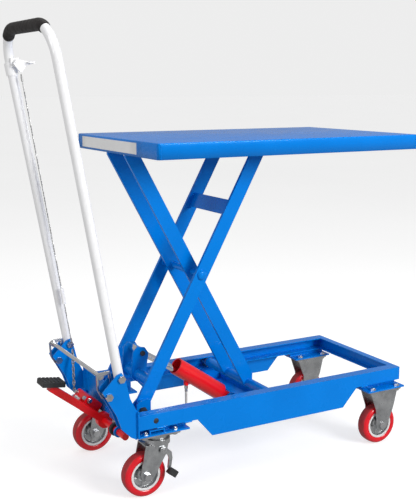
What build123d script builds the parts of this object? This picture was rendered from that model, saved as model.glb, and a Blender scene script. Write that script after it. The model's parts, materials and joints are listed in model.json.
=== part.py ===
"""Hand-pushed scissor lift table: a folding platform on a wheeled base with a foot pump.

Millimetres, +Z up, +X towards the front, origin on the floor under the middle of the table.
It is modelled raised. REAR is the X of the platform's rear edge, and lengths run from it.
"""

import os
from math import atan2, cos, degrees, hypot, radians, sin, tan

from build123d import *

os.makedirs("parts", exist_ok=True)

# ---- driving dimensions ----
REAR = -251.68
FIT = 0.05  # radial clearance of a running fit

# platform
TRAY_LENGTH = 700.0
TRAY_WIDTH = 450.0
TRAY_TOP = 798.0
TRAY_LIP = 35.0
SHEET = 2.0

# scissor, pivot to pivot
PIVOT_X = REAR + 13.0
PIVOT_Z = 180.0
MID_X = REAR + 172.0
MID_Z = 481.0
HALF_REACH = hypot(MID_X - PIVOT_X, MID_Z - PIVOT_Z)
LIFT_ANGLE = degrees(atan2(MID_Z - PIVOT_Z, MID_X - PIVOT_X))
FAR_X = 2 * MID_X - PIVOT_X
TOP_Z = 2 * MID_Z - PIVOT_Z
ARM_HALF = 16.5  # half of the bar's width
ARM_SHIFT = 4.0  # the end holes lie this far off the bar's centre line
ARM_THICK = 8.0
OUTER_Y = 94.0
INNER_Y = 49.0
ARM_PIN = 6.0
TOP_PIN = 5.0
MID_SHAFT = 8.0
LOW_SHAFT = 7.0
SPACER = 12.5

# rails
RAIL_Y = 175.0
RAIL_BASE = 163.5
RAIL_TOP = 196.5
RAIL_FLANGE = 28.0
PLATE = 3.0
RAIL_REAR = REAR - 28.0
RAIL_FRONT = REAR + 713.0
SKIRT_LOW_Z = 118.0
ROLLER = 13.2
TOP_ROLLER = 10.0

# wheels and casters
WHEEL = 51.0
TREAD = 32.0
FRONT_WHEEL_X = REAR + 655.0
FRONT_WHEEL_Y = 160.0
FRONT_PITCH = (76.0, 59.0)
REAR_PITCH = (74.0, 30.0)
SWIVEL_X = REAR + 27.0
REAR_WHEEL_X = REAR - 9.0
REAR_WHEEL_Y = 150.0
AXLE = 5.0
CHEEK_IN = 20.0
CHEEK = 2.5
FRONT_PLATE_Z = 150.0
REAR_PLATE_Z = 145.0
BOLT = 4.0

# handle
HINGE_X = REAR - 67.0
HINGE_Z = 288.0
HANDLE_TILT = 10.0
HANDLE_RISE = 761.0
HANDLE_Y = 155.0
TUBE = 11.0
TUBE_WALL = 1.5
BEND = 72.0
LATCH_X = REAR - 97.0
LATCH_Z = 252.0

# hydraulics
CYL_BASE_X = REAR + 300.0
CYL_BASE_Z = 135.0
ROD_PIN_X = REAR + 49.0
ROD_PIN_Z = 293.0
BARREL_LENGTH = 180.0
BARREL_OUT = 21.0
BARREL_IN = 18.0
BARREL_OFF = 2.75  # the barrel leans this much past the line between its pivots
ROD = 8.0
ROD_LENGTH = 140.0
CYL_ANGLE = degrees(atan2(ROD_PIN_Z - CYL_BASE_Z, CYL_BASE_X - ROD_PIN_X))

# pedal and release
PEDAL_X = REAR - 45.0
PEDAL_Z = 140.0
PEDAL_SHAFT = 8.0
PEDAL_RISE = 38.0
PEDAL_Y = -12.0
VALVE_X = REAR - 52.0
VALVE_Z = 168.0
LEVER_X = REAR - 180.0
LEVER_Z = 966.0
CABLE_Y = 131.0


def save(part, name):
    """Label a finished piece and write it."""
    part.label = name
    export_step(part, f"parts/{name}.step")


def across(y):
    """Plane at a given Y, with its own x along +X, its own y along +Z and its normal along -Y."""
    return Plane(origin=(0, y, 0), x_dir=(1, 0, 0), z_dir=(0, -1, 0))


def pair(half_y):
    """The two mirrored Y places of a paired piece."""
    return (-half_y, half_y)


def handle_point(along, ahead=0.0):
    """X and Z of a point along the tilted handle, measured up from its hinge."""
    tilt = radians(HANDLE_TILT)
    x = HINGE_X - along * sin(tilt) + ahead * cos(tilt)
    z = HINGE_Z + along * cos(tilt) + ahead * sin(tilt)
    return x, z


# ---- base frame ----
with BuildPart() as side_rails:
    for side in (-1, 1):
        with BuildSketch(Plane.YZ.offset(RAIL_REAR)):
            with Locations((side * (RAIL_Y - RAIL_FLANGE / 2), (RAIL_BASE + RAIL_TOP) / 2)):
                Rectangle(RAIL_FLANGE, RAIL_TOP - RAIL_BASE)
            inner_y = side * (RAIL_Y - RAIL_FLANGE / 2 - PLATE)
            with Locations((inner_y, (RAIL_BASE + RAIL_TOP) / 2)):
                Rectangle(RAIL_FLANGE, RAIL_TOP - RAIL_BASE - 2 * PLATE, mode=Mode.SUBTRACT)
        extrude(amount=RAIL_FRONT - RAIL_REAR)
        with BuildSketch(across(side * (RAIL_Y - PLATE / 2))):
            with BuildLine():
                Polyline(
                    (REAR + 118, RAIL_BASE),
                    (REAR + 157, SKIRT_LOW_Z),
                    (REAR + 534, SKIRT_LOW_Z),
                    (REAR + 576, RAIL_BASE),
                    close=True,
                )
            make_face()
        extrude(amount=PLATE / 2, both=True)
        with BuildSketch(across(side * RAIL_Y)):
            with Locations((PIVOT_X, PIVOT_Z)):
                Circle(6.5)
        extrude(amount=2 * PLATE, both=True, mode=Mode.SUBTRACT)
save(side_rails.part, "side_rails")

FRONT_FLANGE = 16.0
with BuildPart() as front_cross_member:
    with BuildSketch(across(0)):
        with Locations((RAIL_FRONT + PLATE / 2, (RAIL_BASE + RAIL_TOP) / 2)):
            Rectangle(PLATE, RAIL_TOP - RAIL_BASE)
    extrude(amount=RAIL_Y, both=True)
    with BuildSketch(across(0)):
        for z in (RAIL_BASE + PLATE / 2, RAIL_TOP - PLATE / 2):
            with Locations((RAIL_FRONT - FRONT_FLANGE / 2, z)):
                Rectangle(FRONT_FLANGE, PLATE)
    extrude(amount=RAIL_Y - RAIL_FLANGE - 0.1, both=True)
    fillet(front_cross_member.edges().filter_by(Axis.Z).group_by(Axis.X)[-1], PLATE - 0.5)
save(front_cross_member.part, "front_cross_member")

CROSS_REAR = REAR - 2.0
CROSS_WIDTH = 38.0
CROSS_BASE = REAR_PLATE_Z + 4.0
CROSS_TOP = CROSS_BASE + 9.0
with BuildPart() as rear_cross_member:
    with BuildSketch(across(0)):
        with Locations((CROSS_REAR + CROSS_WIDTH / 2, (CROSS_BASE + CROSS_TOP) / 2)):
            Rectangle(CROSS_WIDTH, CROSS_TOP - CROSS_BASE)
        with Locations((CROSS_REAR + CROSS_WIDTH / 2, (CROSS_BASE + CROSS_TOP) / 2 - PLATE)):
            Rectangle(CROSS_WIDTH - 2 * PLATE, CROSS_TOP - CROSS_BASE, mode=Mode.SUBTRACT)
    extrude(amount=RAIL_Y - PLATE, both=True)
save(rear_cross_member.part, "rear_cross_member")

BACK_X = REAR - 36.0
BACK_TOP = 228.0
with BuildPart() as rear_plate:
    with BuildSketch(across(0)):
        with BuildLine():
            Polyline(
                (BACK_X, CROSS_BASE),
                (CROSS_REAR, CROSS_BASE),
                (CROSS_REAR, CROSS_BASE + PLATE),
                (BACK_X + PLATE, CROSS_BASE + PLATE),
                (BACK_X + PLATE, BACK_TOP),
                (BACK_X, BACK_TOP),
                close=True,
            )
        make_face()
    extrude(amount=105, both=True)
    with BuildSketch(across(0)):
        with Locations((BACK_X + PLATE / 2, (CROSS_BASE + BACK_TOP) / 2 + 12)):
            Rectangle(PLATE, BACK_TOP - CROSS_BASE - 24)
    extrude(amount=138, both=True)
    with BuildSketch(across(0)):
        with Locations((PEDAL_X, PEDAL_Z)):
            Circle(13)
        with Locations((PEDAL_X + 11, PEDAL_Z + 7)):
            Rectangle(20, 20)
        with Locations((PEDAL_X, PEDAL_Z)):
            Circle(PEDAL_SHAFT, mode=Mode.SUBTRACT)
    lug = extrude(amount=2.5, both=True, mode=Mode.PRIVATE)
    with Locations((0, -100, 0), (0, 100, 0)):
        add(lug)
    # the opening for the pedal's hub
    with BuildSketch(Plane.XY.offset(CROSS_BASE - 1)):
        with Locations((BACK_X + 7, PEDAL_Y)):
            Rectangle(16, 24)
    extrude(amount=22, mode=Mode.SUBTRACT)
save(rear_plate.part, "rear_plate")

FRONT_MOUNT = 4.0
with BuildPart() as caster_mounts:
    for side in (-1, 1):
        rear_mid = side * (RAIL_Y - 33)
        with BuildSketch(Plane.XY.offset(REAR_PLATE_Z)):
            with Locations((REAR + 35, rear_mid)):
                Rectangle(126, 66)
        extrude(amount=4)
        # webs up to the rail, clear of the cross member and the nuts
        with BuildSketch(Plane.XY.offset(REAR_PLATE_Z + 4)):
            with Locations((REAR - 15.5, side * REAR_WHEEL_Y)):
                Rectangle(25, 5)
            with Locations((REAR + 67.5, side * REAR_WHEEL_Y)):
                Rectangle(61, 5)
        extrude(amount=RAIL_BASE - REAR_PLATE_Z - 4)
        with BuildSketch(Plane.XY.offset(FRONT_PLATE_Z)):
            with Locations((FRONT_WHEEL_X, side * FRONT_WHEEL_Y)):
                Rectangle(116, 74)
        extrude(amount=FRONT_MOUNT)
        with BuildSketch(Plane.XY.offset(FRONT_PLATE_Z + FRONT_MOUNT)):
            with Locations((FRONT_WHEEL_X, side * 158)):
                Rectangle(112, 6)
        extrude(amount=RAIL_BASE - FRONT_PLATE_Z - FRONT_MOUNT)
        with Locations((FRONT_WHEEL_X, side * FRONT_WHEEL_Y, FRONT_PLATE_Z)):
            with GridLocations(*FRONT_PITCH, 2, 2):
                Hole(BOLT + FIT, depth=10)
        with Locations((SWIVEL_X, side * REAR_WHEEL_Y, REAR_PLATE_Z)):
            with GridLocations(*REAR_PITCH, 2, 2):
                Hole(BOLT + FIT, depth=10)
save(caster_mounts.part, "caster_mounts")

# the U-shaped brackets that carry the handle, one at each rear corner
CHEEKS = ((HANDLE_Y - 15, HANDLE_Y - 11.5), (HANDLE_Y + 11.5, HANDLE_Y + 15))
with BuildPart() as handle_brackets:
    for side in (-1, 1):
        for near, far in CHEEKS:
            with BuildSketch(across(side * (near + far) / 2)):
                with BuildLine():
                    Polyline(
                        (REAR - 31, 142),
                        (REAR - 31, 208),
                        (REAR - 47, 240),
                        (REAR - 57, 282),
                        (REAR - 66, 302),
                        (REAR - 78, 298),
                        (REAR - 112, 264),
                        (REAR - 80, 206),
                        (REAR - 68, 172),
                        (REAR - 46, 150),
                        close=True,
                    )
                make_face()
                for x, z in ((HINGE_X, HINGE_Z), (LATCH_X, LATCH_Z)):
                    with Locations((x, z)):
                        Circle(5 + FIT, mode=Mode.SUBTRACT)
            extrude(amount=(far - near) / 2, both=True)
        # the web that joins the cheeks, and the flange that meets the rail
        with BuildSketch(across(side * HANDLE_Y)):
            with BuildLine():
                Polyline(
                    (REAR - 31, 142),
                    (REAR - 31, 208),
                    (REAR - 45, 236),
                    (REAR - 48, 234),
                    (REAR - 34, 207),
                    (REAR - 34, 142),
                    close=True,
                )
            make_face()
        extrude(amount=11.5, both=True)
        with BuildSketch(across(side * (HANDLE_Y + 3))):
            with Locations((REAR - 29.5, 176.5)):
                Rectangle(PLATE, 63)
        extrude(amount=18, both=True)
save(handle_brackets.part, "handle_brackets")

LUG_SLOT = ARM_THICK / 2 + 0.7
with BuildPart() as arm_lugs:
    for side in (-1, 1):
        with BuildSketch(across(side * OUTER_Y)):
            with BuildLine():
                Polyline(
                    (PIVOT_X - 15, CROSS_TOP),
                    (PIVOT_X + 21, CROSS_TOP),
                    (PIVOT_X + 21, 206),
                    (PIVOT_X - 5, 206),
                    (PIVOT_X - 15, 196),
                    close=True,
                )
            make_face()
        extrude(amount=11, both=True)
        with BuildSketch(across(side * OUTER_Y)):
            with Locations((PIVOT_X, CROSS_TOP + 53)):
                Rectangle(80, 100)
        extrude(amount=LUG_SLOT, both=True, mode=Mode.SUBTRACT)
        with BuildSketch(across(side * OUTER_Y)):
            with Locations((PIVOT_X, PIVOT_Z)):
                Circle(ARM_PIN + FIT)
        extrude(amount=20, both=True, mode=Mode.SUBTRACT)
save(arm_lugs.part, "arm_lugs")


def bolt_along_y(x, z, y_head, y_end, shank):
    """A bolt from y_head (under its head) to y_end (under its nut)."""
    way = 1 if y_head > y_end else -1
    tall = way * 0.9 * shank
    with BuildPart() as bolt:
        for near, far, is_hex in (
            (y_head, y_end, False),
            (y_head, y_head + tall, True),
            (y_end - tall, y_end, True),
        ):
            with BuildSketch(across((near + far) / 2)):
                with Locations((x, z)):
                    if is_hex:
                        RegularPolygon(1.55 * shank, 6, major_radius=False)
                    else:
                        Circle(shank)
            extrude(amount=abs(far - near) / 2, both=True)
    return bolt.part


with BuildPart() as frame_pivot_pins:
    for side in (-1, 1):
        add(bolt_along_y(PIVOT_X, PIVOT_Z, side * (OUTER_Y + 11), side * (OUTER_Y - 11), ARM_PIN))
    with BuildSketch(across(0)):
        with Locations((CYL_BASE_X, CYL_BASE_Z)):
            Circle(6)
    extrude(amount=24, both=True)
save(frame_pivot_pins.part, "frame_pivot_pins")

with BuildPart() as handle_bracket_bolts:
    for side in (-1, 1):
        for x, z in ((HINGE_X, HINGE_Z), (LATCH_X, LATCH_Z)):
            add(bolt_along_y(x, z, side * (HANDLE_Y + 15), side * (HANDLE_Y - 15), 5.0))
save(handle_bracket_bolts.part, "handle_bracket_bolts")

BAR_X = REAR + 285.0
BAR_WIDTH = 95.0
with BuildPart() as cylinder_cross_bar:
    with BuildSketch(Plane.XY.offset(SKIRT_LOW_Z)):
        with Locations((BAR_X + BAR_WIDTH / 2, 0)):
            Rectangle(BAR_WIDTH, 2 * (RAIL_Y - PLATE))
    extrude(amount=4)
    with BuildSketch(across(0)):
        with Locations((BAR_X + BAR_WIDTH - 1.5, SKIRT_LOW_Z + 14)):
            Rectangle(PLATE, 20)
    extrude(amount=RAIL_Y - PLATE, both=True)
    for side in (-1, 1):
        with BuildSketch(across(side * 17)):
            with Locations((CYL_BASE_X, CYL_BASE_Z)):
                Circle(14)
            with Locations((CYL_BASE_X + 3, (SKIRT_LOW_Z + 4 + CYL_BASE_Z) / 2)):
                Rectangle(34, CYL_BASE_Z - SKIRT_LOW_Z - 4)
            with Locations((CYL_BASE_X, CYL_BASE_Z)):
                Circle(6 + FIT, mode=Mode.SUBTRACT)
        extrude(amount=2.5, both=True)
save(cylinder_cross_bar.part, "cylinder_cross_bar")

# ---- scissor arms ----


def arm_outline(angle, low_pin, mid_pin, high_pin):
    """Sketch of one flat bar on its pivot line: its holes sit off-centre and its ends are cut."""
    reach = HALF_REACH
    wide = ARM_HALF + ARM_SHIFT
    slim = ARM_HALF - ARM_SHIFT
    lean = -1 if angle < 90 else 1
    half = [
        (reach - 17, lean * (wide - 0.2)),
        (reach + 7, lean * 7),
        (reach + 9.5, lean * 3),
        (reach + 9.5, -lean * 6),
        (reach + 5, -lean * slim),
    ]
    turned = [(-u, -v) for u, v in half]
    with BuildSketch(mode=Mode.PRIVATE) as bar:
        with BuildLine():
            Polyline(*half, *turned, close=True)
        make_face()
        for u, pin in ((-reach, low_pin), (0, mid_pin), (reach, high_pin)):
            with Locations((u, 0)):
                Circle(pin, mode=Mode.SUBTRACT)
    return bar.sketch.rotate(Axis.Z, angle)


def arm_pair(half_y, angle, low_pin, mid_pin, high_pin):
    """The two bars that turn together, one at each side."""
    outline = arm_outline(angle, low_pin, mid_pin, high_pin)
    with BuildPart() as bars:
        for y in pair(half_y):
            plane = Plane(origin=(MID_X, y, MID_Z), x_dir=(1, 0, 0), z_dir=(0, -1, 0))
            with BuildSketch(plane):
                add(outline)
            extrude(amount=ARM_THICK / 2, both=True)
    return bars.part


BUSH = 9.0
with BuildPart() as outer_arms:
    add(arm_pair(OUTER_Y, LIFT_ANGLE, BUSH, MID_SHAFT + FIT, TOP_PIN + FIT))
save(outer_arms.part, "outer_arms")

with BuildPart() as arm_bushes:
    for y in pair(OUTER_Y):
        with BuildSketch(across(y)):
            with Locations((PIVOT_X, PIVOT_Z)):
                Circle(BUSH)
                Circle(ARM_PIN + FIT, mode=Mode.SUBTRACT)
        extrude(amount=ARM_THICK / 2, both=True)
save(arm_bushes.part, "arm_bushes")

with BuildPart() as inner_arms:
    add(arm_pair(INNER_Y, 180 - LIFT_ANGLE, LOW_SHAFT + FIT, MID_SHAFT + FIT, TOP_PIN + FIT))
save(inner_arms.part, "inner_arms")

BRACE_Z = 632.0
BRACE_X = PIVOT_X + (BRACE_Z - PIVOT_Z) / (MID_Z - PIVOT_Z) * (MID_X - PIVOT_X)
with BuildPart() as arm_brace:
    plane = Plane(origin=(BRACE_X, 0, BRACE_Z), x_dir=(1, 0, 0), z_dir=(0, -1, 0))
    with BuildSketch(plane):
        Rectangle(37, 5, rotation=LIFT_ANGLE)
    extrude(amount=OUTER_Y - ARM_THICK / 2, both=True)
save(arm_brace.part, "arm_brace")

# the lever that the cylinder's rod pushes, welded between the outer arms
LEVER_TUBE_X = REAR + 38.0
LEVER_TUBE_Z = 243.0
with BuildPart() as lift_lever:
    with BuildSketch(across(0)):
        with Locations((LEVER_TUBE_X, LEVER_TUBE_Z)):
            Circle(13)
    extrude(amount=OUTER_Y - ARM_THICK / 2, both=True)
    for y in pair(27):
        with BuildSketch(across(y)):
            with BuildLine():
                Polyline(
                    (REAR + 20, 238),
                    (REAR + 33, 226),
                    (REAR + 56, 238),
                    (REAR + 65, 292),
                    (REAR + 56, 306),
                    (REAR + 38, 310),
                    (REAR + 26, 298),
                    close=True,
                )
            make_face()
            with Locations((ROD_PIN_X, ROD_PIN_Z)):
                Circle(6 + FIT, mode=Mode.SUBTRACT)
        extrude(amount=3, both=True)
save(lift_lever.part, "lift_lever")

with BuildPart() as outer_arm_pins:
    with BuildSketch(across(0)):
        with Locations((FAR_X, TOP_Z)):
            Circle(TOP_PIN)
    extrude(amount=115.5, both=True)
    with BuildSketch(across(0)):
        with Locations((ROD_PIN_X, ROD_PIN_Z)):
            Circle(6)
    extrude(amount=33, both=True)
save(outer_arm_pins.part, "outer_arm_pins")

with BuildPart() as centre_shaft:
    with BuildSketch(across(0)):
        with Locations((MID_X, MID_Z)):
            Circle(MID_SHAFT)
    extrude(amount=OUTER_Y + 10, both=True)
    for y in pair(OUTER_Y + 7.5):
        with BuildSketch(across(y)):
            with Locations((MID_X, MID_Z)):
                Circle(12)
        extrude(amount=2.5, both=True)
save(centre_shaft.part, "centre_shaft")

with BuildPart() as lower_shaft:
    with BuildSketch(across(0)):
        with Locations((FAR_X, PIVOT_Z)):
            Circle(LOW_SHAFT)
    extrude(amount=170.8, both=True)
save(lower_shaft.part, "lower_shaft")

with BuildPart() as shaft_spacers:
    reach_in = INNER_Y - ARM_THICK / 2
    reach_out = INNER_Y + ARM_THICK / 2
    outboard = (reach_out + 149) / 2
    for y, length in ((0, 2 * reach_in), (-outboard, 149 - reach_out), (outboard, 149 - reach_out)):
        with BuildSketch(across(y)):
            with Locations((FAR_X, PIVOT_Z)):
                Circle(SPACER)
                Circle(LOW_SHAFT + FIT, mode=Mode.SUBTRACT)
        extrude(amount=length / 2, both=True)
save(shaft_spacers.part, "shaft_spacers")


def roller_pair(x, z, radius, bore, half_y, width):
    """Two plain rollers on one axis along Y."""
    with BuildPart() as rollers:
        for y in pair(half_y):
            with BuildSketch(across(y)):
                with Locations((x, z)):
                    Circle(radius)
                    Circle(bore + FIT, mode=Mode.SUBTRACT)
            extrude(amount=width / 2, both=True)
    return rollers.part


with BuildPart() as lower_rollers:
    add(roller_pair(FAR_X, PIVOT_Z, ROLLER, LOW_SHAFT, 160, 20))
save(lower_rollers.part, "lower_rollers")

GUIDE_Y = 108.5
with BuildPart() as upper_rollers:
    add(roller_pair(FAR_X, TOP_Z, TOP_ROLLER, TOP_PIN, GUIDE_Y, 13))
save(upper_rollers.part, "upper_rollers")

# ---- platform ----
TRAY_X = REAR + TRAY_LENGTH / 2
UNDER = TRAY_TOP - SHEET
with BuildPart() as platform_tray:
    with BuildSketch(Plane.XY.offset(TRAY_TOP - TRAY_LIP)):
        with Locations((TRAY_X, 0)):
            RectangleRounded(TRAY_LENGTH, TRAY_WIDTH, 8)
    extrude(amount=TRAY_LIP)
    fillet(platform_tray.faces().sort_by(Axis.Z)[-1].edges(), 1.5)
    with BuildSketch(Plane.XY.offset(TRAY_TOP - TRAY_LIP)):
        with Locations((TRAY_X, 0)):
            RectangleRounded(TRAY_LENGTH - 2 * SHEET, TRAY_WIDTH - 2 * SHEET, 6)
    extrude(amount=TRAY_LIP - SHEET, mode=Mode.SUBTRACT)
save(platform_tray.part, "platform_tray")

GUIDE_GAP = TOP_ROLLER + 0.3
with BuildPart() as platform_guides:
    for side in (-1, 1):
        with BuildSketch(Plane.YZ.offset(REAR + 296)):
            low = TOP_Z - GUIDE_GAP - PLATE
            with Locations((side * 109.5, (UNDER + low) / 2)):
                Rectangle(19, UNDER - low)
            with Locations((side * 107.5, TOP_Z)):
                Rectangle(17, 2 * GUIDE_GAP, mode=Mode.SUBTRACT)
        extrude(amount=401)
save(platform_guides.part, "platform_guides")

with BuildPart() as platform_lugs:
    for side in (-1, 1):
        with BuildSketch(across(side * (INNER_Y + 8))):
            with Locations((PIVOT_X, TOP_Z)):
                Circle(9)
            with Locations((PIVOT_X + 2, (TOP_Z + UNDER) / 2)):
                Rectangle(20, UNDER - TOP_Z)
            with Locations((PIVOT_X, TOP_Z)):
                Circle(TOP_PIN, mode=Mode.SUBTRACT)
        extrude(amount=2, both=True)
        with BuildSketch(across(side * (INNER_Y + 3))):
            with Locations((PIVOT_X, TOP_Z)):
                Circle(TOP_PIN)
        extrude(amount=9, both=True)
save(platform_lugs.part, "platform_lugs")

# ---- hydraulic cylinder ----


def along_cylinder(x, z, angle):
    """Plane through a pivot, normal to a line that rises rearwards at an angle."""
    turn = radians(angle)
    return Plane(origin=(x, 0, z), x_dir=(0, 1, 0), z_dir=(-cos(turn), 0, sin(turn)))


BARREL_ANGLE = CYL_ANGLE + BARREL_OFF
PORT_X = REAR + 181.0
PORT_AXIS_Z = CYL_BASE_Z + (CYL_BASE_X - PORT_X) * tan(radians(BARREL_ANGLE))
PORT_Z = PORT_AXIS_Z - BARREL_OUT / cos(radians(BARREL_ANGLE)) - 8
with BuildPart() as cylinder_barrel:
    barrel_plane = along_cylinder(CYL_BASE_X, CYL_BASE_Z, BARREL_ANGLE)
    with BuildSketch(barrel_plane.offset(28)):
        Circle(BARREL_OUT)
    extrude(amount=BARREL_LENGTH - 28)
    with BuildSketch(Plane.XY.offset(PORT_Z)):
        with Locations((PORT_X, 0)):
            Circle(6)
    extrude(amount=PORT_AXIS_Z - PORT_Z)
    with BuildSketch(barrel_plane.offset(38)):
        Circle(BARREL_IN)
    extrude(amount=BARREL_LENGTH, mode=Mode.SUBTRACT)
    with BuildSketch(barrel_plane):
        Rectangle(24, 18)
    extrude(amount=32)
    with BuildSketch(across(0)):
        with Locations((CYL_BASE_X, CYL_BASE_Z)):
            Circle(12)
    extrude(amount=13, both=True)
    with BuildSketch(across(0)):
        with Locations((CYL_BASE_X, CYL_BASE_Z)):
            Circle(6 + FIT)
    extrude(amount=20, both=True, mode=Mode.SUBTRACT)
save(cylinder_barrel.part, "cylinder_barrel")

with BuildPart() as lift_rod:
    rod_plane = along_cylinder(ROD_PIN_X, ROD_PIN_Z, CYL_ANGLE)
    with BuildSketch(rod_plane):
        Circle(ROD)
    extrude(amount=-ROD_LENGTH)
    with BuildSketch(across(0)):
        with Locations((ROD_PIN_X, ROD_PIN_Z)):
            Circle(11)
    extrude(amount=22, both=True)
    with BuildSketch(across(0)):
        with Locations((ROD_PIN_X, ROD_PIN_Z)):
            Circle(6 + FIT)
    extrude(amount=30, both=True, mode=Mode.SUBTRACT)
save(lift_rod.part, "lift_rod")

# oil line: a short drop from the barrel's port, and the hose below it that runs to the pump
HOSE = 3.0
DROP = 38.0
with BuildPart() as hose_drop:
    with BuildSketch(Plane.XY.offset(PORT_Z - DROP)):
        with Locations((PORT_X, 0)):
            Circle(HOSE)
    extrude(amount=DROP)
    with BuildSketch(Plane.XY.offset(PORT_Z - 7)):
        with Locations((PORT_X, 0)):
            RegularPolygon(5.5, 6)
    extrude(amount=7)
save(hose_drop.part, "hose_drop")

HOSE_ROUTE = (
    (PORT_X, 0, 106),
    (PORT_X, 0, 90),
    (PORT_X - 8, 0, 75),
    (PORT_X - 26, 1, 66),
    (PORT_X - 57, 5, 63),
    (PORT_X - 95, 12, 66),
    (PORT_X - 130, 22, 76),
    (PORT_X - 165, 34, 97),
    (PORT_X - 190, 40, 120),
    (PORT_X - 207, 42, 139),
)


def corner_radii(points):
    """Largest radius of each corner of a route that its two runs leave room for."""
    radii = []
    for before, here, after in zip(points, points[1:], points[2:]):
        first = Vector(*here) - Vector(*before)
        second = Vector(*after) - Vector(*here)
        turn = radians(first.get_angle(second))
        short = min(first.length, second.length)
        radii.append(0.45 * short * cos(turn / 2) / sin(turn / 2))
    return radii


with BuildPart() as oil_hose:
    with BuildLine() as hose_path:
        FilletPolyline(*HOSE_ROUTE, radius=corner_radii(HOSE_ROUTE))
    with BuildSketch(Plane(origin=hose_path.line @ 0, z_dir=hose_path.line % 0)):
        Circle(HOSE)
    sweep()
save(oil_hose.part, "oil_hose")
print("hose radii", [round(r) for r in corner_radii(HOSE_ROUTE)])

# ---- foot pump ----
PUMP_Y = 40.0
PUMP_HALF = 30.0


PUMP_X = REAR - 68.0
PUMP_Z = 169.0


def pump_frame(y):
    """Plane across the pump, turned to the pump's slope."""
    turn = radians(PEDAL_RISE)
    origin = (PUMP_X, y, PUMP_Z)
    return Plane(origin=origin, x_dir=(cos(turn), 0, -sin(turn)), z_dir=(0, -1, 0))


with BuildPart() as pump_body:
    with BuildSketch(pump_frame(PUMP_Y)):
        Rectangle(46, 40)
    extrude(amount=PUMP_HALF, both=True)
    fillet(pump_body.edges().filter_by(Axis.Y), 5)
    with BuildSketch(pump_frame(PUMP_Y)):
        with Locations((-25, -6)):
            Rectangle(8, 22)
    extrude(amount=20, both=True)
    with BuildSketch(across(PUMP_Y + PUMP_HALF + 5)):
        with Locations((VALVE_X, VALVE_Z)):
            Circle(6)
    extrude(amount=7, both=True)
    with BuildSketch(Plane.XY.offset(140)):
        with Locations((REAR - 50, 58)):
            Rectangle(28, 14)
    extrude(amount=16)
    with BuildSketch(across(PUMP_Y)):
        with Locations((PEDAL_X, PEDAL_Z)):
            Circle(PEDAL_SHAFT)
    extrude(amount=50, both=True, mode=Mode.SUBTRACT)
save(pump_body.part, "pump_body")

with BuildPart() as pedal_shaft:
    with BuildSketch(across(0)):
        with Locations((PEDAL_X, PEDAL_Z)):
            Circle(PEDAL_SHAFT - FIT)
    extrude(amount=137, both=True)
save(pedal_shaft.part, "pedal_shaft")

PEDAL_LENGTH = 165.0


def pedal_frame(y):
    """Plane across the pedal, with its x along the arm, out from the hub."""
    turn = radians(PEDAL_RISE)
    return Plane(origin=(PEDAL_X, y, PEDAL_Z), x_dir=(-cos(turn), 0, sin(turn)), z_dir=(0, 1, 0))


with BuildPart() as pedal_arm:
    with BuildSketch(pedal_frame(PEDAL_Y)):
        Circle(18)
        with Locations((PEDAL_LENGTH / 2, 0)):
            Rectangle(PEDAL_LENGTH, 17)
    extrude(amount=9, both=True)
    with BuildSketch(pedal_frame(PEDAL_Y)):
        Circle(PEDAL_SHAFT)
    extrude(amount=20, both=True, mode=Mode.SUBTRACT)
    # the cam finger that works the plunger
    with BuildSketch(pedal_frame(0)):
        with Locations((15, 0)):
            Rectangle(10, 10)
    extrude(amount=8, both=True)
save(pedal_arm.part, "pedal_arm")

PAD_X = REAR - 171.0
PAD_Z = 252.5
with BuildPart() as pedal_pad:
    pad_plane = Plane(origin=(PAD_X, PEDAL_Y, PAD_Z), x_dir=(cos(radians(8)), 0, -sin(radians(8))),
                      z_dir=(sin(radians(8)), 0, cos(radians(8))))
    with BuildSketch(pad_plane.offset(-7)):
        RectangleRounded(54, 42, 5)
    extrude(amount=14)
    with BuildSketch(pedal_frame(PEDAL_Y)):
        with Locations((PEDAL_LENGTH / 2, 0)):
            Rectangle(PEDAL_LENGTH + 0.1, 17.1)
    extrude(amount=9.05, both=True, mode=Mode.SUBTRACT)
save(pedal_pad.part, "pedal_pad")

# the plunger slides in a lug below the pump, in line with the pedal's cam
PLUNGER_Y = 26.0
with BuildPart() as pump_plunger:
    with BuildSketch(pump_frame(PLUNGER_Y)):
        with Locations((-39.5, -6)):
            Rectangle(3, 14)
        with Locations((-35.9, -6)):
            Rectangle(4.2, 8)
    extrude(amount=5, both=True)
save(pump_plunger.part, "pump_plunger")

# ---- handle ----
handle_plane = Plane(
    origin=(HINGE_X, 0, HINGE_Z),
    x_dir=(0, 1, 0),
    z_dir=(cos(radians(HANDLE_TILT)), 0, sin(radians(HANDLE_TILT))),
)
with BuildPart() as handle_tube:
    with BuildLine(handle_plane) as handle_path:
        FilletPolyline(
            (-HANDLE_Y, -14),
            (-HANDLE_Y, HANDLE_RISE),
            (HANDLE_Y, HANDLE_RISE),
            (HANDLE_Y, -14),
            radius=BEND,
        )
    with BuildSketch(Plane(origin=handle_path.line @ 0, z_dir=handle_path.line % 0)):
        Circle(TUBE)
        Circle(TUBE - TUBE_WALL, mode=Mode.SUBTRACT)
    sweep()
    with BuildSketch(across(0)):
        with Locations((HINGE_X, HINGE_Z)):
            Circle(5 + FIT)
    extrude(amount=RAIL_Y, both=True, mode=Mode.SUBTRACT)
save(handle_tube.part, "handle_tube")

# how far the foam sleeve reaches round each bend, in degrees from the top bar
GRIP_SWEEPS = {-1: 31.0, 1: 42.0}


def bend_point(side, turn):
    """A point of the handle's centre line, turned through one of its bends from the top bar."""
    across_bar = HANDLE_Y - BEND + BEND * sin(radians(turn))
    return side * across_bar, HANDLE_RISE - BEND * (1 - cos(radians(turn)))


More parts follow.
